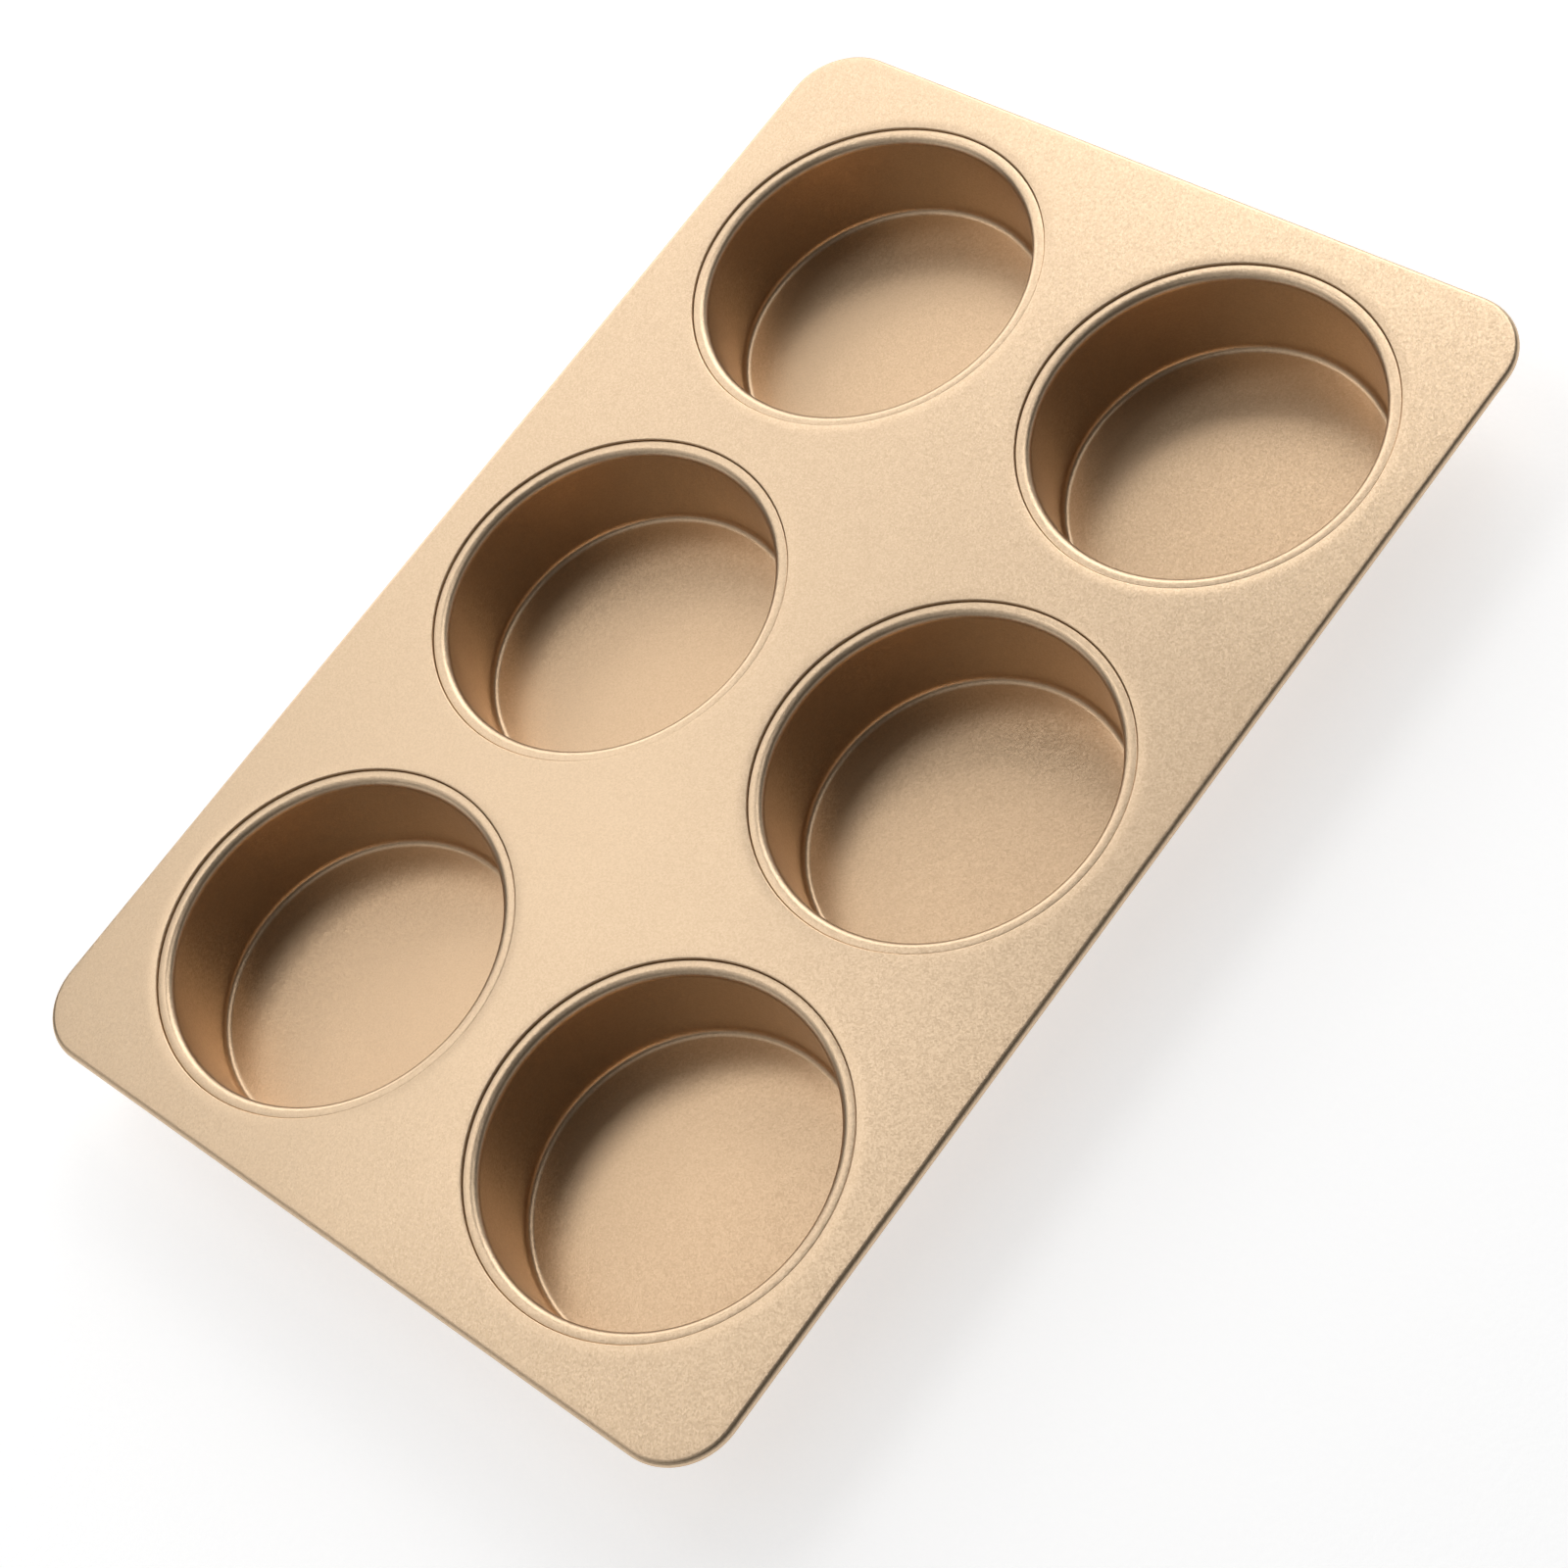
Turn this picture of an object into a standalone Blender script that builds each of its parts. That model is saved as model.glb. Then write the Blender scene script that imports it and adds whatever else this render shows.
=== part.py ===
"""Hamburger bun pan: a flat deck sheet, six drawn cups locked into it, and a wire in its rolled edge.

The pan stands on the flat undersides of its cups. Z = 0 is that plane, X runs along the long side,
and the origin is under the middle of the deck. All sizes are in metres.
"""
import math

import bmesh
import bpy
from mathutils import Matrix, Vector

# The pan as a whole
PAN_HEIGHT = 0.034
CORNER_RADIUS = 0.020
SHEET = 0.0006

# Cups: counts, and the flat deck left between two openings and outside the outer ones
COLUMNS = 3
ROWS = 2
GAP_LENGTHWISE = 0.0173
GAP_ACROSS = 0.0158
END_MARGIN = 0.0139
SIDE_MARGIN = 0.0129

# Stiffening wire in the rolled edge
WIRE_RADIUS = 0.0008
WIRE_CLEARANCE = 0.0002
ROLL_TURN = math.radians(300)

# Drawn cups: the mouth is where the wall would meet the ledge in a sharp corner
MOUTH_RADIUS = 0.0508
WALL_TAPER = 0.0014
FLOOR_FILLET = 0.0022
MOUTH_BEND = 0.0025
LEDGE_WIDTH = 0.0040
LEDGE_DROP = 0.0008
SHOULDER_BEND = 0.0007
HOOK_HEADROOM = 0.0009

# Openings of the deck: a shallow dish leads to the fold, and the collar below it ends in a curl
FOLD_RADIUS = 0.0008
DISH_WIDTH = 0.0030
DISH_DROP = 0.0001
COLLAR_DROP = 0.0033
COLLAR_CURL = 0.0010
COLLAR_LIP = 0.0002

# Clearance between the deck's collar and the cup's hooked flange
SEAM_CLEARANCE = 0.0003

# Facets
ROUND_STEPS = 28
CORNER_STEPS = 6
ROLL_STEPS = 10
BEND_STEPS = 2
SMOOTH_ANGLE = math.radians(40)
MERGE_DISTANCE = 0.00001

# Radii of the cups and their openings, from the middle of a cup outwards
FLOOR_RADIUS = MOUTH_RADIUS - WALL_TAPER
SHOULDER_RADIUS = MOUTH_RADIUS + LEDGE_WIDTH
HOLE_RADIUS = SHOULDER_RADIUS + SEAM_CLEARANCE
DISH_RADIUS = HOLE_RADIUS + DISH_WIDTH

# Levels of the seam
LEDGE_TOP = PAN_HEIGHT - LEDGE_DROP
COLLAR_BOTTOM = PAN_HEIGHT - COLLAR_DROP
HOOK_BEND = COLLAR_CURL + SEAM_CLEARANCE
HOOK_BOTTOM = COLLAR_BOTTOM - SEAM_CLEARANCE
HOOK_TOP = PAN_HEIGHT - SHEET - HOOK_HEADROOM

# Outline of the pan, from its cups outwards
ROLL_RADIUS = WIRE_RADIUS + WIRE_CLEARANCE + SHEET
PITCH_X = 2 * HOLE_RADIUS + GAP_LENGTHWISE
PITCH_Y = 2 * HOLE_RADIUS + GAP_ACROSS
PAN_LENGTH = (COLUMNS - 1) * PITCH_X + 2 * (HOLE_RADIUS + END_MARGIN)
PAN_WIDTH = (ROWS - 1) * PITCH_Y + 2 * (HOLE_RADIUS + SIDE_MARGIN)


def remove_scene_objects():
    for old in list(bpy.data.objects):
        bpy.data.objects.remove(old, do_unlink=True)


def coated_metal(name, colour, roughness, metallic):
    """A material with one colour for a whole piece."""
    material = bpy.data.materials.new(name)
    material.use_nodes = True
    shader = material.node_tree.nodes["Principled BSDF"]
    shader.inputs["Base Color"].default_value = (*colour, 1.0)
    shader.inputs["Roughness"].default_value = roughness
    shader.inputs["Metallic"].default_value = metallic
    material.diffuse_color = (*colour, 1.0)
    return material


def rounded_path(corners, steps):
    """Points (radius, height) of a section line through corners given as (radius, height, bend)."""
    points = [Vector(corners[0][:2])]
    for before, corner, after in zip(corners, corners[1:], corners[2:]):
        tip = Vector(corner[:2])
        back = (Vector(before[:2]) - tip).normalized()
        ahead = (Vector(after[:2]) - tip).normalized()
        half_angle = back.angle(ahead) / 2
        reach = corner[2] / math.tan(half_angle)
        centre = tip + (back + ahead).normalized() * (corner[2] / math.sin(half_angle))
        first_spoke = tip + back * reach - centre
        last_spoke = tip + ahead * reach - centre
        turn = -first_spoke.angle_signed(last_spoke)
        for step in range(steps + 1):
            points.append(centre + Matrix.Rotation(turn * step / steps, 2) @ first_spoke)
    points.append(Vector(corners[-1][:2]))
    return points


def without_repeats(points):
    """The same section line, where bends that touch share one point."""
    kept = [points[0]]
    for point in points[1:]:
        if (point - kept[-1]).length > MERGE_DISTANCE:
            kept.append(point)
    return kept


def deck_outline(inset, height):
    """The pan's rounded rectangle, drawn in from its outer edge by inset, at one height."""
    corner = CORNER_RADIUS - inset
    middle_x = PAN_LENGTH / 2 - CORNER_RADIUS
    middle_y = PAN_WIDTH / 2 - CORNER_RADIUS
    points = []
    for quarter, (side_x, side_y) in enumerate(((1, 1), (-1, 1), (-1, -1), (1, -1))):
        for step in range(CORNER_STEPS + 1):
            angle = math.pi / 2 * (quarter + step / CORNER_STEPS)
            x = side_x * middle_x + corner * math.cos(angle)
            y = side_y * middle_y + corner * math.sin(angle)
            points.append(Vector((x, y, height)))
    return points


def cup_centres():
    """Centres of the cups, along X first."""
    centres = []
    for row in range(ROWS):
        for column in range(COLUMNS):
            x = (column - (COLUMNS - 1) / 2) * PITCH_X
            y = (row - (ROWS - 1) / 2) * PITCH_Y
            centres.append(Vector((x, y, 0)))
    return centres


def add_loop(bm, points):
    verts = [bm.verts.new(point) for point in points]
    return [bm.edges.new(pair) for pair in zip(verts, verts[1:] + verts[:1])]


def add_rolled_edge(bm):
    """The sheet's edge, turned down and round the wire, as one loop of the outline after another."""
    loops = []
    for step in range(ROLL_STEPS + 1):
        angle = math.pi / 2 - ROLL_TURN * step / ROLL_STEPS
        inset = ROLL_RADIUS * (1 - math.cos(angle))
        height = PAN_HEIGHT - ROLL_RADIUS * (1 - math.sin(angle))
        loops.append(add_loop(bm, deck_outline(inset, height)))
    for outer, inner in zip(loops, loops[1:]):
        bmesh.ops.bridge_loops(bm, edges=outer + inner)


def add_collar(bm, centre):
    """A dished opening with a turned-down collar: its section, turned about the cup's axis."""
    section = rounded_path(
        [
            (DISH_RADIUS, PAN_HEIGHT),
            (HOLE_RADIUS, PAN_HEIGHT - DISH_DROP, FOLD_RADIUS),
            (HOLE_RADIUS, COLLAR_BOTTOM, COLLAR_CURL),
            (HOLE_RADIUS + COLLAR_CURL + COLLAR_LIP, COLLAR_BOTTOM),
        ],
        BEND_STEPS,
    )
    verts = [bm.verts.new(centre + Vector((radius, 0, height))) for radius, height in without_repeats(section)]
    edges = [bm.edges.new(pair) for pair in zip(verts, verts[1:])]
    bmesh.ops.spin(
        bm,
        geom=verts + edges,
        cent=centre,
        axis=(0, 0, 1),
        angle=math.tau,
        steps=ROUND_STEPS,
        use_merge=True,
    )


def make_deck(material):
    """One sheet: the flat deck, its rolled edge and six collars, as a surface with thickness."""
    bm = bmesh.new()
    add_rolled_edge(bm)
    for centre in cup_centres():
        add_collar(bm, centre)
    bmesh.ops.remove_doubles(bm, verts=bm.verts, dist=MERGE_DISTANCE)
    flat_edges = [
        edge
        for edge in bm.edges
        if edge.is_boundary and all(abs(vert.co.z - PAN_HEIGHT) < MERGE_DISTANCE for vert in edge.verts)
    ]
    bmesh.ops.triangle_fill(bm, use_beauty=True, edges=flat_edges, normal=(0, 0, 1))
    bmesh.ops.recalc_face_normals(bm, faces=bm.faces)
    largest_flat = max(bm.faces, key=lambda face: face.calc_area())
    if largest_flat.normal.z < 0:
        bmesh.ops.reverse_faces(bm, faces=bm.faces)
    return add_sheet_object("deck_tray", bm, material)


def add_sheet_object(name, bm, material):
    """An object whose surface is the sheet's upper side, with the sheet's thickness below it."""
    mesh = bpy.data.meshes.new(name)
    bm.to_mesh(mesh)
    bm.free()
    mesh.shade_smooth()
    mesh.set_sharp_from_angle(angle=SMOOTH_ANGLE)
    mesh.materials.append(material)
    sheet = bpy.data.objects.new(name, mesh)
    add_thickness(sheet)
    return sheet


def add_thickness(sheet):
    solidify = sheet.modifiers.new("Sheet thickness", "SOLIDIFY")
    solidify.thickness = SHEET
    solidify.offset = -1
    solidify.use_even_offset = True


def make_rim_wire(material):
    """The stiffening wire that runs all round inside the rolled edge."""
    curve = bpy.data.curves.new("rim_wire", "CURVE")
    curve.dimensions = "3D"
    curve.bevel_depth = WIRE_RADIUS
    curve.bevel_resolution = 2
    path = deck_outline(ROLL_RADIUS, PAN_HEIGHT - ROLL_RADIUS)
    spline = curve.splines.new("POLY")
    spline.points.add(len(path) - 1)
    for point, place in zip(spline.points, path):
        point.co = (*place, 1)
    spline.use_cyclic_u = True
    curve.materials.append(material)
    return bpy.data.objects.new("rim_wire", curve)


def cup_mesh(material):
    """Section of a cup's inner side, from the middle of the floor out to the hooked flange."""
    section = rounded_path(
        [
            (0, SHEET),
            (FLOOR_RADIUS, SHEET, FLOOR_FILLET),
            (MOUTH_RADIUS, LEDGE_TOP, MOUTH_BEND),
            (SHOULDER_RADIUS, LEDGE_TOP, SHOULDER_BEND),
            (SHOULDER_RADIUS, HOOK_BOTTOM, HOOK_BEND),
            (SHOULDER_RADIUS + 2 * HOOK_BEND, HOOK_BOTTOM, HOOK_BEND),
            (SHOULDER_RADIUS + 2 * HOOK_BEND, HOOK_TOP),
        ],
        BEND_STEPS,
    )
    mesh = bpy.data.meshes.new("cup_section")
    points = [(radius, 0, height) for radius, height in without_repeats(section)]
    edges = [(index, index + 1) for index in range(len(points) - 1)]
    mesh.from_pydata(points, edges, [])
    mesh.materials.append(material)
    return mesh


def make_cup(name, mesh, centre):
    """A cup: its section turned about the upright axis and given the sheet's thickness."""
    cup = bpy.data.objects.new(name, mesh)
    cup.location = centre
    screw = cup.modifiers.new("Turned section", "SCREW")
    screw.axis = "Z"
    screw.angle = math.tau
    screw.steps = ROUND_STEPS
    screw.render_steps = ROUND_STEPS
    screw.use_merge_vertices = True
    screw.merge_threshold = MERGE_DISTANCE
    screw.use_smooth_shade = True
    add_thickness(cup)
    return cup


def build():
    remove_scene_objects()
    pan_parts = bpy.data.collections.new("hamburger_bun_pan")
    bpy.context.scene.collection.children.link(pan_parts)
    pan = bpy.data.objects.new("hamburger_bun_pan", None)
    pan_parts.objects.link(pan)

    coating = coated_metal("champagne_nonstick_coating", (0.70, 0.50, 0.31), 0.38, 0.85)
    wire_steel = coated_metal("plain_steel_wire", (0.45, 0.45, 0.46), 0.40, 1.0)
    pieces = [make_deck(coating), make_rim_wire(wire_steel)]
    section = cup_mesh(coating)
    for number, centre in enumerate(cup_centres(), start=1):
        pieces.append(make_cup(f"cup_{number}", section, centre))
    for piece in pieces:
        pan_parts.objects.link(piece)
        piece.parent = pan


build()
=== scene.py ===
# %% [markdown]
# # A hamburger bun pan
#
# The pan in the photograph is pressed from thin steel sheet and sprayed with a champagne-coloured
# nonstick coating. A flat deck sheet with a wired, rolled edge carries six round cups, and each cup
# is locked to the deck by a hooked seam under its rim. This lesson rebuilds the pan as fine sheet-metal
# pieces over its plain engineering model, and gives it the coating's soft metallic look.

# %% Load the engineering model
import math
import bmesh
import bpy
import numpy as np
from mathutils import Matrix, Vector


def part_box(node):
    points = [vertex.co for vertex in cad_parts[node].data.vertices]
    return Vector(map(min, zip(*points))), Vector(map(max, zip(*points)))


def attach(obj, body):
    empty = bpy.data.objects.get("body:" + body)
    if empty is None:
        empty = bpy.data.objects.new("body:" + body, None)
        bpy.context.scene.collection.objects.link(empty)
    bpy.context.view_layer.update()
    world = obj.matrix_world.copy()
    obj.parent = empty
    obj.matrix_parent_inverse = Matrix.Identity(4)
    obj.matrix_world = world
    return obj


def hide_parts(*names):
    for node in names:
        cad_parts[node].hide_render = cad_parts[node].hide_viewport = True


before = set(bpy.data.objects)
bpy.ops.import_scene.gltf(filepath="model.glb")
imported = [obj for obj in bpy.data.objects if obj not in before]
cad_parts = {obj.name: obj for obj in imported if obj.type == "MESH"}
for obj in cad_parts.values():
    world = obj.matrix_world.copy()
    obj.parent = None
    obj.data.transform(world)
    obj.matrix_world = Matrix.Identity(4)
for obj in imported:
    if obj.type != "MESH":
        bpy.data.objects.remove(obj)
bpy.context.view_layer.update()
MM = 0.001
print("engineering model:", sorted(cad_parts))

# %% [markdown]
# ## Sizes
#
# The outer sizes come from the engineering model itself, so the fine pieces always fit it. The sizes
# of the sheet, its bends and its seam are those that a press tool would be drawn with.

# %% Sizes of the sheet, the bends and the seam
deck_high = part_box("deck_tray")[1]
HALF_LENGTH = deck_high[0]
HALF_WIDTH = deck_high[1]
DECK_TOP = deck_high[2]
SHEET = 0.6 * MM
CORNER_RADIUS = 20 * MM
ROLL_RADIUS = 1.6 * MM

HOLE_RADIUS = 55.1 * MM
FOLD_BEND = 0.4 * MM
DISH_WIDTH = 3.0 * MM
DISH_DROP = 0.1 * MM
COLLAR_DROP = 3.3 * MM
COLLAR_CURL = 1.0 * MM
COLLAR_LIP = 0.2 * MM

FLOOR_RADIUS = 49.4 * MM
MOUTH_RADIUS = 50.8 * MM
FLOOR_FILLET = 2.2 * MM
MOUTH_BEND = 2.5 * MM
LEDGE_DROP = 0.8 * MM
SHOULDER_BEND = 0.3 * MM
HOOK_TOP_DROP = 1.5 * MM
SEAM_CLEARANCE = 0.12 * MM

ROUND_STEPS = 192
print(f"deck {2 * HALF_LENGTH / MM:.1f} x {2 * HALF_WIDTH / MM:.1f} mm, {DECK_TOP / MM:.1f} mm high")


# %% [markdown]
# ## Working in edit mode
#
# Sheet metal is modelled here the way it is pressed: a flat start, rings of edges pulled to new
# places, sharp corners rounded with a bevel, and a thickness at the very end. A few small helpers
# select rings by their place and pull them on.

# %% Helpers for edit mode
RIGHT_ANGLE = math.pi / 2
SAME_PLACE = 0.005 * MM
ON_RING = 0.02 * MM
SMOOTH_BELOW = math.radians(35)


def start_piece():
    """Deselects everything, so that the next operator acts on the new primitive alone."""
    bpy.ops.object.select_all(action="DESELECT")


def edit_mode():
    """Goes into edit mode on the active piece, to pick edges."""
    bpy.ops.object.mode_set(mode="EDIT")
    bpy.ops.mesh.select_mode(type="EDGE")


def object_mode():
    """Goes back to object mode."""
    bpy.ops.object.mode_set(mode="OBJECT")


def select_edges(wanted):
    """Selects the edges whose two ends both satisfy wanted(point)."""
    mesh = bpy.context.edit_object.data
    bm = bmesh.from_edit_mesh(mesh)
    for face in bm.faces:
        face.select = False
    for edge in bm.edges:
        edge.select = False
    for vert in bm.verts:
        vert.select = False
    for edge in bm.edges:
        if all(wanted(vert.co) for vert in edge.verts):
            edge.select = True
    bmesh.update_edit_mesh(mesh)


def on_ring(radius, height):
    """A test for points on a ring about the Z axis."""
    def on_it(point):
        out = math.hypot(point.x, point.y) - radius
        up = point.z - height
        return abs(out) < ON_RING and abs(up) < ON_RING

    return on_it


def pull_ring(old_radius, new_radius, rise):
    """Extrudes the selected ring, moves it up by rise and resizes it about the Z axis."""
    bpy.ops.mesh.extrude_edges_move(TRANSFORM_OT_translate={"value": (0, 0, rise)})
    scale = new_radius / old_radius
    bpy.ops.transform.resize(value=(scale, scale, 1), center_override=(0, 0, 0))


def round_edges(wanted, bend, corner_angle, segments):
    """Rounds the sharp edges that wanted(point) picks, between two walls that meet at corner_angle."""
    select_edges(wanted)
    reach = bend / math.tan(corner_angle / 2)
    bpy.ops.mesh.bevel(offset=reach, offset_type="OFFSET", segments=segments, profile=0.5)


def thicken():
    """Gives the active surface the sheet's thickness below it."""
    solid = bpy.context.object.modifiers.new("Sheet thickness", "SOLIDIFY")
    solid.thickness = SHEET
    solid.offset = -1
    solid.use_even_offset = True
    bpy.ops.object.modifier_apply(modifier=solid.name)


def finish_sheet(name):
    """Names the active piece and shades it smooth."""
    piece = bpy.context.object
    piece.name = name
    piece.data.name = name
    bpy.ops.object.shade_smooth_by_angle(angle=SMOOTH_BELOW)
    return piece


# %% [markdown]
# ## The cups
#
# Each cup is drawn from one disc of sheet: a flat floor, a small fillet, a wall that leans out a
# little so that the bun comes free, a rounded bend at the mouth, and a narrow ledge that lies just
# below the deck. From the ledge the flange turns down and hooks round the deck's collar.
#
# A cup could be spun from half of its section, but a spin crowds the faces in the middle of the floor.
# A filled circle keeps the floor one clean face, so that is the start. Its edge is pulled up and out
# ring by ring in sharp corners, and each corner is then bevelled to its real bend radius. The ledge's
# outer edge is pressed so sharp that its bend is smaller than the sheet is thick, so it is bevelled
# last, on the outside of the finished sheet alone.

# %% One cup
WIDE_BEND_STEPS = 10
SMALL_BEND_STEPS = 6
SHARP_BEND_STEPS = 4


def model_cup():
    """One cup about the Z axis, from its floor out to the hook of its flange."""
    ledge_top = DECK_TOP - LEDGE_DROP
    shoulder_radius = HOLE_RADIUS - SEAM_CLEARANCE
    hook_bend = COLLAR_CURL + SEAM_CLEARANCE
    hook_bottom = DECK_TOP - COLLAR_DROP - SEAM_CLEARANCE
    hook_radius = shoulder_radius + 2 * hook_bend
    hook_top = DECK_TOP - HOOK_TOP_DROP
    wall_lean = math.atan2(MOUTH_RADIUS - FLOOR_RADIUS, ledge_top - SHEET)

    start_piece()
    bpy.ops.mesh.primitive_circle_add(
        vertices=ROUND_STEPS, radius=FLOOR_RADIUS, fill_type="NGON", location=(0, 0, SHEET)
    )
    bpy.ops.object.transform_apply(location=True)
    edit_mode()
    bpy.ops.mesh.select_all(action="SELECT")
    bpy.ops.mesh.inset(thickness=2 * FLOOR_FILLET)
    select_edges(on_ring(FLOOR_RADIUS, SHEET))
    pull_ring(FLOOR_RADIUS, MOUTH_RADIUS, ledge_top - SHEET)
    pull_ring(MOUTH_RADIUS, shoulder_radius, 0)
    pull_ring(shoulder_radius, shoulder_radius, hook_bottom - ledge_top)
    pull_ring(shoulder_radius, hook_radius, 0)
    pull_ring(hook_radius, hook_radius, hook_top - hook_bottom)

    round_edges(on_ring(FLOOR_RADIUS, SHEET), FLOOR_FILLET, RIGHT_ANGLE + wall_lean, WIDE_BEND_STEPS)
    round_edges(on_ring(MOUTH_RADIUS, ledge_top), MOUTH_BEND, RIGHT_ANGLE + wall_lean, WIDE_BEND_STEPS)
    round_edges(on_ring(shoulder_radius, hook_bottom), hook_bend, RIGHT_ANGLE, SMALL_BEND_STEPS)
    round_edges(on_ring(hook_radius, hook_bottom), hook_bend, RIGHT_ANGLE, SMALL_BEND_STEPS)
    bpy.ops.mesh.select_all(action="SELECT")
    bpy.ops.mesh.remove_doubles(threshold=SAME_PLACE)
    object_mode()
    thicken()
    edit_mode()
    round_edges(on_ring(shoulder_radius, ledge_top), SHOULDER_BEND, RIGHT_ANGLE, SHARP_BEND_STEPS)
    object_mode()
    return finish_sheet("cup_master")


cup_master = model_cup()
print("one cup:", len(cup_master.data.polygons), "faces")

# %% [markdown]
# The six cups are the same pressing. They could share one mesh, but a piece here keeps its place in
# its mesh. So the finished cup is copied to the middle of each cup of the engineering model, each copy
# with its own mesh, and its place is then put into that mesh.

# %% Six copies
CUP_NODES = [f"cup_{number}" for number in range(1, 7)]


def copy_to(master, name, centre):
    """Copies the master to a centre, with a mesh of its own that holds the new place."""
    start_piece()
    master.select_set(True)
    bpy.context.view_layer.objects.active = master
    bpy.ops.object.duplicate(linked=False)
    piece = bpy.context.object
    piece.name = name
    piece.data.name = name
    piece.location = centre
    bpy.ops.object.transform_apply(location=True)
    return piece


cup_centres = {}
for node in CUP_NODES:
    low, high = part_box(node)
    cup_centres[node] = Vector(((low[0] + high[0]) / 2, (low[1] + high[1]) / 2, 0))

cups = {node: copy_to(cup_master, f"drawn_{node}", centre) for node, centre in cup_centres.items()}
bpy.data.objects.remove(cup_master, do_unlink=True)
for node, piece in cups.items():
    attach(piece, "root")
    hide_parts(node)
print("cups at, in mm:", [(round(c.x / MM, 2), round(c.y / MM, 2)) for c in cup_centres.values()])


# %% [markdown]
# ## The deck's collars
#
# Each opening of the deck is pressed in three moves: a shallow dish round the opening, a sharp fold
# where the sheet turns down, and a short collar whose lower edge curls outwards over the cup's hook.
#
# A boolean could cut the holes, but it would leave long, thin faces round them that shade badly. The
# collar is made like the cup instead, from a ring that is pulled inwards and down. A narrow flat ring
# is left outside the dish, so that the flat of the deck keeps its flat shading. The fold stays a corner
# until the deck has its thickness.

# %% One collar
FLAT_RING = 1.0 * MM


def model_collar():
    """The dish, the fold and the curled collar of one opening as an open surface about the Z axis."""
    dish_radius = HOLE_RADIUS + DISH_WIDTH
    flat_radius = dish_radius + FLAT_RING
    dish_bottom = DECK_TOP - DISH_DROP
    collar_bottom = DECK_TOP - COLLAR_DROP
    curl_radius = HOLE_RADIUS + COLLAR_CURL + COLLAR_LIP

    start_piece()
    bpy.ops.mesh.primitive_circle_add(
        vertices=ROUND_STEPS, radius=flat_radius, fill_type="NOTHING", location=(0, 0, DECK_TOP)
    )
    bpy.ops.object.transform_apply(location=True)
    edit_mode()
    bpy.ops.mesh.select_all(action="SELECT")
    pull_ring(flat_radius, dish_radius, 0)
    pull_ring(dish_radius, HOLE_RADIUS, -DISH_DROP)
    pull_ring(HOLE_RADIUS, HOLE_RADIUS, collar_bottom - dish_bottom)
    pull_ring(HOLE_RADIUS, curl_radius, 0)
    round_edges(on_ring(HOLE_RADIUS, collar_bottom), COLLAR_CURL, RIGHT_ANGLE, SMALL_BEND_STEPS)
    object_mode()
    collar = bpy.context.object
    collar.name = "collar_master"
    return collar


collar_master = model_collar()
collars = [
    copy_to(collar_master, f"collar_{index}", centre)
    for index, centre in enumerate(cup_centres.values())
]
bpy.data.objects.remove(collar_master, do_unlink=True)
print("collars:", len(collars))


# %% [markdown]
# ## The rolled edge
#
# The deck's edge is turned down and rolled round a steel wire, which makes the rim stiff and leaves
# no raw edge to cut a hand. Its section is most of a circle.
#
# A curve with a round bevel would be quicker, but it makes a closed tube, and the roll is open on its
# inner side. So the section is drawn once at the start of a corner, spun a quarter turn about the
# corner's middle, extruded along the straight side, and so on round the pan until it meets itself.

# %% The roll, corner by corner
ROLL_SECTION_STEPS = 72
ROLL_GAP = math.radians(60)
ANGLE_SLACK = 0.001
CORNER_STEPS = 24
FLAT_STRIP = 1.5 * MM


def model_roll():
    """The rolled edge as an open surface, with a narrow flat strip inside it."""
    middle_x = HALF_LENGTH - CORNER_RADIUS
    middle_y = HALF_WIDTH - CORNER_RADIUS
    corners = ((1, 1), (-1, 1), (-1, -1), (1, -1))
    runs = ((-2 * middle_x, 0, 0), (0, -2 * middle_y, 0), (2 * middle_x, 0, 0), (0, 2 * middle_y, 0))
    start_piece()
    bpy.ops.mesh.primitive_circle_add(
        vertices=ROLL_SECTION_STEPS,
        radius=ROLL_RADIUS,
        location=(HALF_LENGTH - ROLL_RADIUS, middle_y, DECK_TOP - ROLL_RADIUS),
        rotation=(RIGHT_ANGLE, 0, 0),
    )
    bpy.ops.object.transform_apply(location=True, rotation=True)
    roll = bpy.context.object
    roll.name = "roll"
    edit_mode()
    open_section(roll)
    for (side_x, side_y), run in zip(corners, runs):
        bpy.ops.mesh.spin(
            steps=CORNER_STEPS,
            angle=-RIGHT_ANGLE,
            center=(side_x * middle_x, side_y * middle_y, 0),
            axis=(0, 0, 1),
        )
        bpy.ops.mesh.extrude_edges_move(TRANSFORM_OT_translate={"value": run})
    bpy.ops.mesh.select_all(action="SELECT")
    bpy.ops.mesh.remove_doubles(threshold=SAME_PLACE)
    object_mode()
    return roll


def open_section(roll):
    """Opens the circle beside the deck, and adds the narrow flat strip that the deck goes on from."""
    bm = bmesh.from_edit_mesh(roll.data)
    middle = Vector((HALF_LENGTH - ROLL_RADIUS, DECK_TOP - ROLL_RADIUS))
    for vert in bm.verts:
        angle = math.atan2(vert.co.z - middle.y, vert.co.x - middle.x) - RIGHT_ANGLE
        vert.select = ANGLE_SLACK < angle % math.tau < ROLL_GAP - ANGLE_SLACK
    bm.select_flush_mode()
    bmesh.update_edit_mesh(roll.data)
    bpy.ops.mesh.select_mode(type="VERT")
    bpy.ops.mesh.delete(type="VERT")
    bm = bmesh.from_edit_mesh(roll.data)
    for vert in bm.verts:
        vert.select = abs(vert.co.z - DECK_TOP) < SAME_PLACE
    bmesh.update_edit_mesh(roll.data)
    bpy.ops.mesh.extrude_vertices_move(TRANSFORM_OT_translate={"value": (-FLAT_STRIP, 0, 0)})
    bpy.ops.mesh.select_mode(type="EDGE")
    bpy.ops.mesh.select_all(action="SELECT")


roll = model_roll()
print("roll:", len(roll.data.polygons), "faces")

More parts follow.
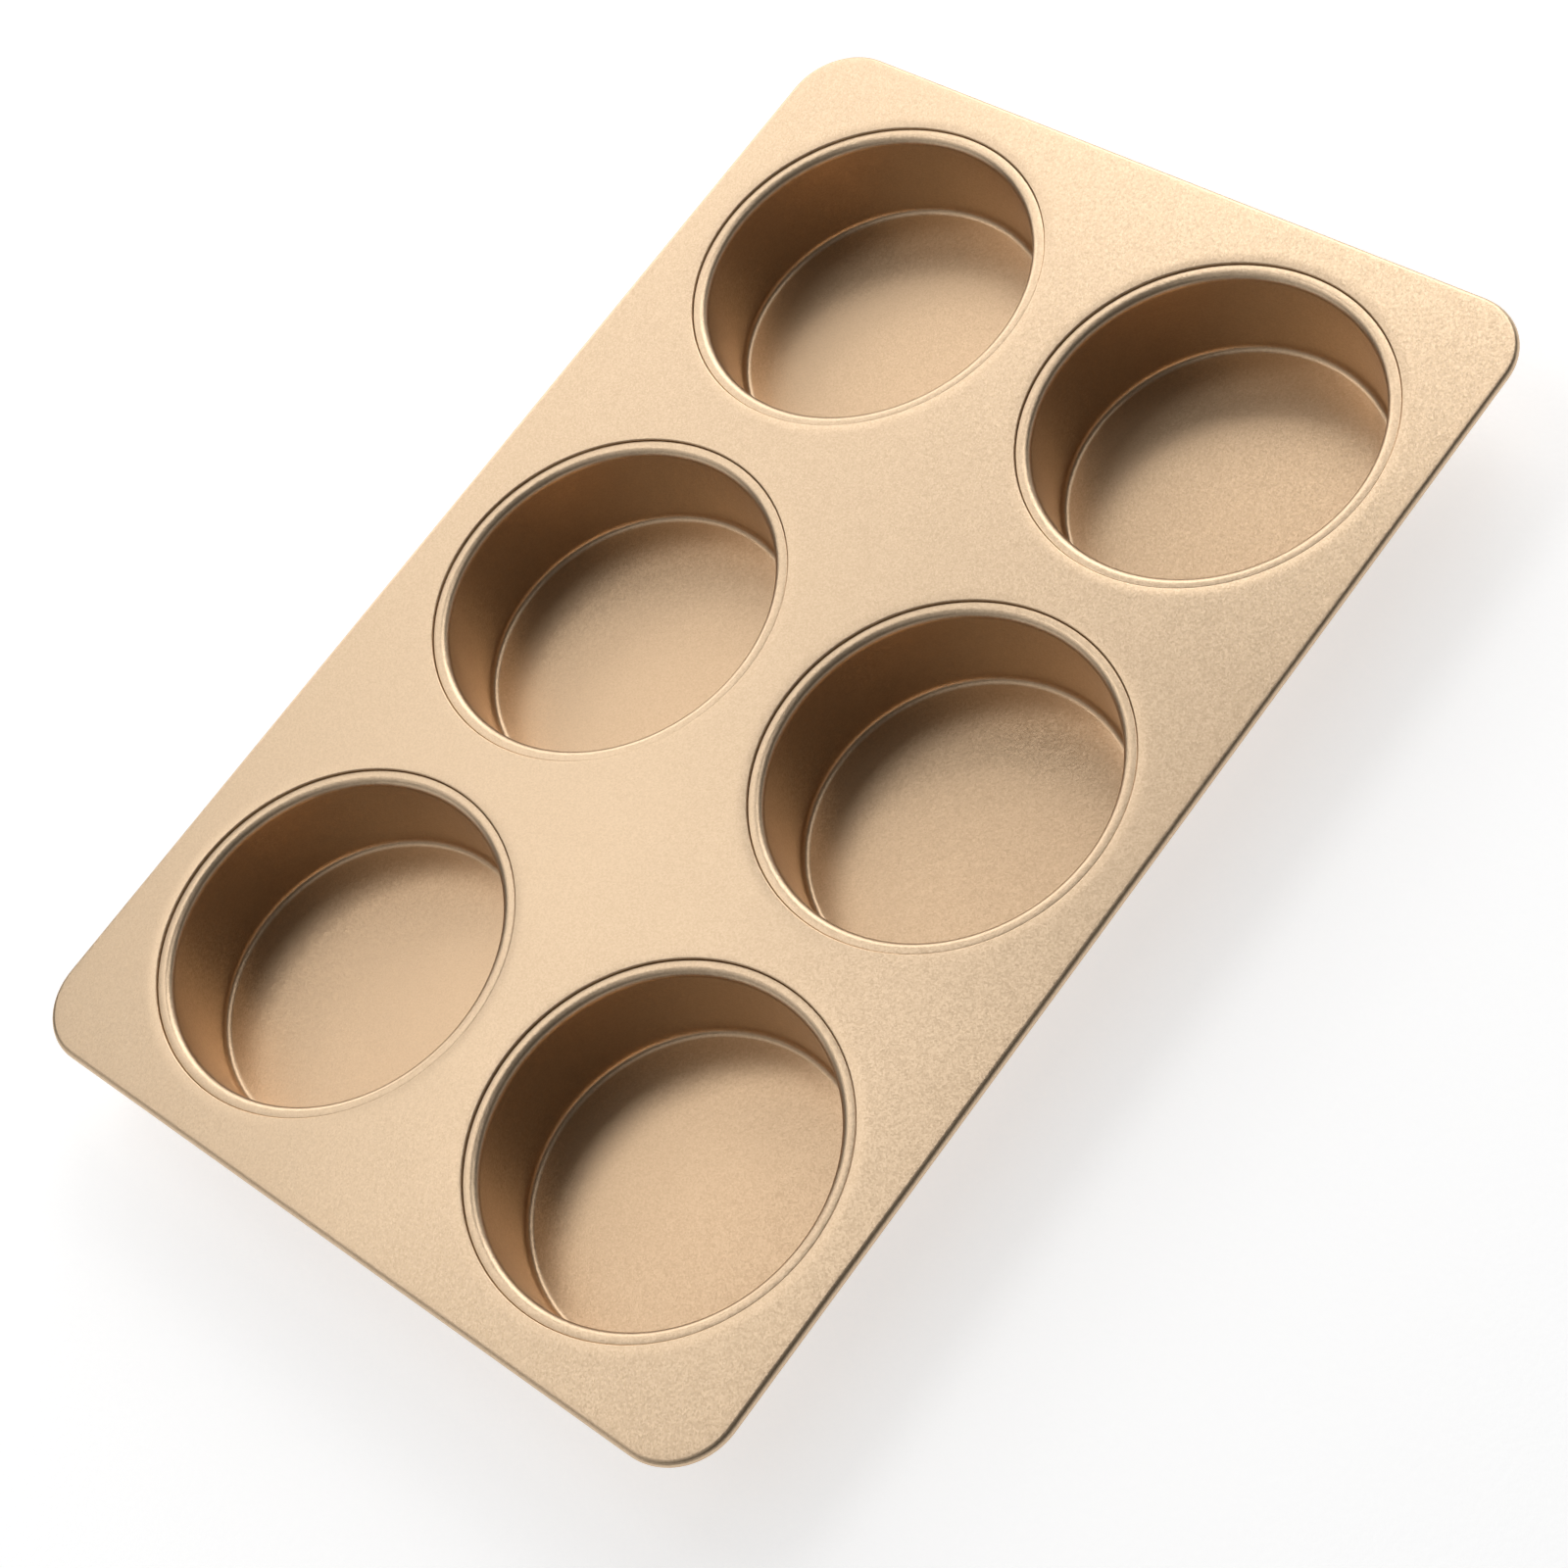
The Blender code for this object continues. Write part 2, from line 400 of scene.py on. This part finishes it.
# %% [markdown]
# The real deck is one sheet. Separate pieces would show a line where they meet, so the roll and the
# six collars are joined into one surface, the flat deck is filled in between them, and the whole gets
# the sheet's thickness in one go.

# %% The deck sheet
def model_deck(roll, collars):
    """Joins the roll and the collars, fills the deck in between and gives it its thickness."""
    start_piece()
    for piece in collars:
        piece.select_set(True)
    roll.select_set(True)
    bpy.context.view_layer.objects.active = roll
    bpy.ops.object.join()
    deck = bpy.context.object
    edit_mode()
    select_open_deck_edges(deck)
    bpy.ops.mesh.fill(use_beauty=True)
    bpy.ops.mesh.select_all(action="SELECT")
    bpy.ops.mesh.normals_make_consistent(inside=False)
    object_mode()
    flat = max(deck.data.polygons, key=lambda face: face.area)
    if flat.normal.z < 0:
        deck.data.flip_normals()
    thicken()
    edit_mode()
    round_edges(on_a_fold, FOLD_BEND, RIGHT_ANGLE, SMALL_BEND_STEPS)
    object_mode()
    return finish_sheet("deck_sheet")


def on_a_fold(point):
    """Whether a point is on the corner where the deck turns down into one of its openings."""
    fold = on_ring(HOLE_RADIUS, DECK_TOP - DISH_DROP)
    return any(fold(point - centre) for centre in cup_centres.values())


def select_open_deck_edges(deck):
    """Selects the open edges that lie in the flat of the deck."""
    bpy.ops.mesh.select_all(action="DESELECT")
    bm = bmesh.from_edit_mesh(deck.data)
    for edge in bm.edges:
        level = all(abs(vert.co.z - DECK_TOP) < SAME_PLACE for vert in edge.verts)
        edge.select = edge.is_boundary and level
    bmesh.update_edit_mesh(deck.data)


deck = model_deck(roll, collars)
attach(deck, "root")
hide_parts("deck_tray")
print("deck sheet:", len(deck.data.polygons), "faces")


# %% [markdown]
# ## The coating and the wire
#
# The sheet is sprayed with a champagne-coloured nonstick paint that is full of fine metal flakes. The
# flakes lie almost flat in the paint, so it reflects like satin metal, and each flake leans a little
# its own way, which gives a soft, fine sparkle. Sprayed paint also dries with a faint ripple.
#
# Noise alone would give soft clouds. A pattern of small cells suits flakes better, because each cell
# gets one shade and one lean of its own. All of it is procedural and set out in real millimetres.

# %% Helpers for materials
WHITE = "ffffff"


def linear(hex_colour):
    """An sRGB colour such as "d8b992" as linear red, green, blue and alpha."""
    channels = [int(hex_colour[i:i + 2], 16) / 255 for i in (0, 2, 4)]
    return [c / 12.92 if c <= 0.04045 else ((c + 0.055) / 1.055) ** 2.4 for c in channels] + [1.0]


def add_node(material, kind, settings=None, values=None, links=None):
    """Adds a node, sets its properties and input values, and links outputs to its inputs."""
    tree = material.node_tree
    node = tree.nodes.new(kind)
    for name, value in (settings or {}).items():
        setattr(node, name, value)
    sockets = {socket.identifier: socket for socket in node.inputs}
    for name, value in (values or {}).items():
        sockets[name].default_value = value
    for name, output in (links or {}).items():
        tree.links.new(output, sockets[name])
    return node


def new_material(name):
    """A new material with nodes, its Principled shader, and the object's own coordinates."""
    material = bpy.data.materials.new(name)
    material.use_nodes = True
    place = add_node(material, "ShaderNodeTexCoord").outputs["Object"]
    return material, material.node_tree.nodes["Principled BSDF"], place


def plug(material, shader, outputs):
    """Links each output to the shader's input of that name."""
    for name, output in outputs.items():
        material.node_tree.links.new(output, shader.inputs[name])


def wear(material, pieces):
    """Gives the pieces this material alone."""
    for piece in pieces:
        piece.data.materials.clear()
        piece.data.materials.append(material)


# %% Champagne nonstick coating
CLUSTER_SIZE = 0.45 * MM
CLUSTER_LEAN = 0.06
CLUSTER_DARK = "d6bb9b"
CLUSTER_LIGHT = "e0c6a7"
# Painted shade: from the first height down the colour is tinted deeper, fully so below the second.
PAINTED_SHADE_TOP = 33 * MM
PAINTED_SHADE_FULL_BELOW = 29 * MM
# The tint of the painted shade down in the cups; it also falls on their outsides and the roll's lower
# edge.
CUP_PAINTED_SHADE_TINT = "fcf6f0"
RIPPLE_SIZE = 2.5 * MM
RIPPLE_DEPTH = 0.002 * MM
RIPPLE_DETAIL = 1
PATCH_SIZE = 40 * MM
PATCH_DETAIL = 3
PATCH_ROUGHNESS = (0.37, 0.41)


def lean_by(material, normal, colours, amount):
    """Tips a normal by up to half of amount to every side, by the random colours of a pattern."""
    lean = add_node(
        material,
        "ShaderNodeVectorMath",
        settings={"operation": "MULTIPLY_ADD"},
        values={"Vector_001": (amount,) * 3, "Vector_002": (-amount / 2,) * 3},
        links={"Vector": colours},
    ).outputs["Vector"]
    return add_node(
        material,
        "ShaderNodeVectorMath",
        settings={"operation": "ADD"},
        links={"Vector": normal, "Vector_001": lean},
    ).outputs["Vector"]


def champagne_coating():
    """Sprayed nonstick paint with metal flakes: satin, warm and slightly uneven."""
    material, shader, place = new_material("champagne_nonstick_coating")
    # Real flakes are about 0.05 mm across, too fine to show. Where they crowd they show as specks of
    # about half a millimetre, slightly lighter or darker than the rest, and those are drawn here.
    clusters = add_node(
        material,
        "ShaderNodeTexVoronoi",
        values={"Scale": 1 / CLUSTER_SIZE},
        links={"Vector": place},
    ).outputs["Color"]
    shade = add_node(material, "ShaderNodeSeparateColor", links={"Color": clusters}).outputs["Green"]
    colour = add_node(material, "ShaderNodeValToRGB", links={"Fac": shade})
    colour.color_ramp.elements[0].color = linear(CLUSTER_DARK)
    colour.color_ramp.elements[1].color = linear(CLUSTER_LIGHT)
    # Painted shade: lower than the deck, in the cups, the colour is made a shade deeper and warmer.
    height = add_node(material, "ShaderNodeSeparateXYZ", links={"Vector": place}).outputs["Z"]
    painted_shade_amount = add_node(
        material,
        "ShaderNodeMapRange",
        values={"From Min": PAINTED_SHADE_TOP, "From Max": PAINTED_SHADE_FULL_BELOW},
        links={"Value": height},
    ).outputs["Result"]
    cup_shade_ramp = add_node(material, "ShaderNodeValToRGB", links={"Fac": painted_shade_amount})
    cup_shade_ramp.color_ramp.elements[0].color = linear(WHITE)
    cup_shade_ramp.color_ramp.elements[1].color = linear(CUP_PAINTED_SHADE_TINT)
    colour_with_painted_shade = add_node(
        material,
        "ShaderNodeVectorMath",
        settings={"operation": "MULTIPLY"},
        links={"Vector": colour.outputs["Color"], "Vector_001": cup_shade_ramp.outputs["Color"]},
    ).outputs["Vector"]

    ripple = add_node(
        material,
        "ShaderNodeTexNoise",
        values={"Scale": 1 / RIPPLE_SIZE, "Detail": RIPPLE_DETAIL},
        links={"Vector": place},
    ).outputs["Fac"]
    rippled = add_node(
        material, "ShaderNodeBump", values={"Distance": RIPPLE_DEPTH}, links={"Height": ripple}
    ).outputs["Normal"]
    leaning = lean_by(material, rippled, clusters, CLUSTER_LEAN)
    normal = add_node(
        material, "ShaderNodeVectorMath", settings={"operation": "NORMALIZE"}, links={"Vector": leaning}
    ).outputs["Vector"]

    patches = add_node(
        material,
        "ShaderNodeTexNoise",
        values={"Scale": 1 / PATCH_SIZE, "Detail": PATCH_DETAIL},
        links={"Vector": place},
    ).outputs["Fac"]
    roughness = add_node(
        material,
        "ShaderNodeMapRange",
        values={"To Min": PATCH_ROUGHNESS[0], "To Max": PATCH_ROUGHNESS[1]},
        links={"Value": patches},
    ).outputs["Result"]

    shader.inputs["Metallic"].default_value = 1.0
    plug(material, shader, {"Base Color": colour_with_painted_shade, "Normal": normal, "Roughness": roughness})
    return material


coating = champagne_coating()
wear(coating, [deck, *cups.values()])
print("coating:", len(coating.node_tree.nodes), "nodes")

# %% [markdown]
# The wire is hidden in the roll, but it gets its own finish all the same: hard-drawn steel with fine
# scratches, left by the drawing die. Its shape in the engineering model is right, so that is kept. The
# scratches are an even grain, because stretched ones would run across the wire on two of its sides.

# %% Drawn steel wire
WIRE_GRAIN = 0.15 * MM
WIRE_DETAIL = 2
WIRE_ROUGHNESS = 0.38
WIRE_DARK = "7d7d7f"
WIRE_LIGHT = "a3a3a4"
SCRATCH_DEPTH = 0.004 * MM


def drawn_wire():
    """Hard-drawn steel wire: grey, half bright, with fine drawing scratches."""
    material, shader, place = new_material("drawn_steel_wire")
    scratches = add_node(
        material,
        "ShaderNodeTexNoise",
        values={"Scale": 1 / WIRE_GRAIN, "Detail": WIRE_DETAIL},
        links={"Vector": place},
    ).outputs["Fac"]
    colour = add_node(material, "ShaderNodeValToRGB", links={"Fac": scratches})
    colour.color_ramp.elements[0].color = linear(WIRE_DARK)
    colour.color_ramp.elements[1].color = linear(WIRE_LIGHT)
    scratched = add_node(
        material, "ShaderNodeBump", values={"Distance": SCRATCH_DEPTH}, links={"Height": scratches}
    ).outputs["Normal"]
    shader.inputs["Metallic"].default_value = 1.0
    shader.inputs["Roughness"].default_value = WIRE_ROUGHNESS
    plug(material, shader, {"Base Color": colour.outputs["Color"], "Normal": scratched})
    return material


wire_steel = drawn_wire()
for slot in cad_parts["rim_wire"].material_slots:
    slot.material = wire_steel
print("wire:", len(wire_steel.node_tree.nodes), "nodes")

# %% [markdown]
# ## Camera
#
# The camera stands where the photographer stood: in front of the near long side and a little to the
# left, looking down at the pan from about 53 degrees, with the camera rolled so that the pan lies
# askew in the picture. The lens is a short telephoto. A place found by eye is never quite right, so
# this one was worked out from where the pan's corners and seams lie in the picture.

# %% Camera
CAMERA_PLACE = Vector((-0.24814, -0.53785, 0.81025))
CAMERA_TURN = [math.radians(angle) for angle in (31.185, 18.464, -51.256)]
LENS_MM = 79.88
SENSOR_MM = 36.0

camera_data = bpy.data.cameras.new("camera")
camera_data.sensor_width = SENSOR_MM
camera_data.lens = LENS_MM
camera = bpy.data.objects.new("camera", camera_data)
camera.location = CAMERA_PLACE
camera.rotation_euler = CAMERA_TURN
bpy.context.scene.collection.objects.link(camera)
bpy.context.scene.camera = camera
print("camera:", LENS_MM, "mm lens,", round(camera.location.length, 2), "m from the middle of the pan")

# %% [markdown]
# ## Floor, world and lamps
#
# The photograph is a cut-out on white. The floor is a plain pale sheet that looks white to the camera
# and keeps the pan's soft shadow. Satin metal shows nothing but the lamps it reflects, so softboxes of
# plain light stand round the pan: strong ones behind it, weaker ones at the sides, and only faint ones
# on the camera's side, which is what leaves the far walls of the cups dark. An even sky would be
# simpler, but then nothing on the metal would tell one bend from the next.

# %% Floor
FLOOR_SIZE = 60.0
FLOOR_GAP = 0.1 * MM
FLOOR_WHITE = "d9d9d9"
FLOOR_ROUGHNESS = 0.9
FLOOR_GRAIN = 2 * MM
FLOOR_GRAIN_DETAIL = 2
FLOOR_GRAIN_DEPTH = 0.1 * MM
FLOOR_LIFT = 0.62


def add_floor():
    """A large matt sheet, lifted to white where the camera or a reflection sees it."""
    start_piece()
    bpy.ops.mesh.primitive_plane_add(size=FLOOR_SIZE, location=(0, 0, -FLOOR_GAP))
    floor = bpy.context.object
    floor.name = "floor"
    material, shader, place = new_material("pale_studio_floor")
    grain = add_node(
        material,
        "ShaderNodeTexNoise",
        values={"Scale": 1 / FLOOR_GRAIN, "Detail": FLOOR_GRAIN_DETAIL},
        links={"Vector": place},
    ).outputs["Fac"]
    grained = add_node(
        material, "ShaderNodeBump", values={"Distance": FLOOR_GRAIN_DEPTH}, links={"Height": grain}
    ).outputs["Normal"]
    ray = add_node(material, "ShaderNodeLightPath").outputs
    seen = add_node(
        material,
        "ShaderNodeMath",
        settings={"operation": "ADD"},
        links={"Value": ray["Is Camera Ray"], "Value_001": ray["Is Glossy Ray"]},
    ).outputs["Value"]
    seen_or_through = add_node(
        material,
        "ShaderNodeMath",
        settings={"operation": "ADD", "use_clamp": True},
        links={"Value": seen, "Value_001": ray["Is Transmission Ray"]},
    ).outputs["Value"]
    lift = add_node(
        material,
        "ShaderNodeMath",
        settings={"operation": "MULTIPLY"},
        values={"Value_001": FLOOR_LIFT},
        links={"Value": seen_or_through},
    ).outputs["Value"]
    shader.inputs["Base Color"].default_value = linear(FLOOR_WHITE)
    shader.inputs["Roughness"].default_value = FLOOR_ROUGHNESS
    shader.inputs["Emission Color"].default_value = linear(WHITE)
    plug(material, shader, {"Emission Strength": lift, "Normal": grained})
    wear(material, [floor])


add_floor()
print("floor:", FLOOR_SIZE, "m square")

# %% Lamps
LAMP_DISTANCE = 1.7
# Azimuth, elevation, width and height in degrees, and a brightness that is 1 for white.
SOFTBOXES = {
    "key_behind_right": (26, 30, 30, 36, 2.95),
    "wide_fill_behind": (68, 20, 40, 32, 2.2),
    "low_strip_right": (2, 6, 80, 9, 1.0),
    "low_fill_back_left": (146, 15, 46, 26, 0.85),
    "low_fill_left": (200, 20, 60, 16, 0.55),
    "high_fill_right": (356, 52, 24, 30, 1.2),
    "middle_behind": (52, 44, 32, 15, 1.05),
    "middle_back_left": (112, 50, 34, 28, 0.66),
    "high_back_left": (160, 60, 44, 44, 0.52),
    "high_behind": (80, 60, 18, 17, 2.78),
    "high_fill_front": (262, 64, 70, 24, 0.12),
    "low_fill_front": (270, 16, 100, 16, 0.5),
}


def add_softbox(name, azimuth, elevation, width, height, brightness):
    """A softbox that faces the pan. Angles are in degrees, seen from the pan."""
    azimuth, elevation = math.radians(azimuth), math.radians(elevation)
    level = math.cos(elevation)
    away = Vector((level * math.cos(azimuth), level * math.sin(azimuth), math.sin(elevation)))
    data = bpy.data.lights.new(name, "AREA")
    data.shape = "RECTANGLE"
    data.size = 2 * LAMP_DISTANCE * math.tan(math.radians(width) / 2)
    data.size_y = 2 * LAMP_DISTANCE * math.tan(math.radians(height) / 2)
    # The power of a flat lamp is pi times its area times its brightness.
    data.energy = brightness * math.pi * data.size * data.size_y
    lamp = bpy.data.objects.new(name, data)
    lamp.location = away * LAMP_DISTANCE + Vector((0, 0, DECK_TOP))
    lamp.rotation_euler = away.to_track_quat("Z", "Y").to_euler()
    bpy.context.scene.collection.objects.link(lamp)
    return lamp


lamps = {name: add_softbox(name, *values) for name, values in SOFTBOXES.items()}
print("lamps:", list(lamps))

# %% World
# The lamps alone light the pan. A glow from all sides would lift the dark walls of the cups.
WORLD_STRENGTH = 0.0

world = bpy.data.worlds.new("studio")
bpy.context.scene.world = world
world.use_nodes = True
background = world.node_tree.nodes["Background"]
background.inputs["Color"].default_value = linear(WHITE)
background.inputs["Strength"].default_value = WORLD_STRENGTH
bpy.context.scene.view_settings.view_transform = "Standard"
print("world strength:", WORLD_STRENGTH)
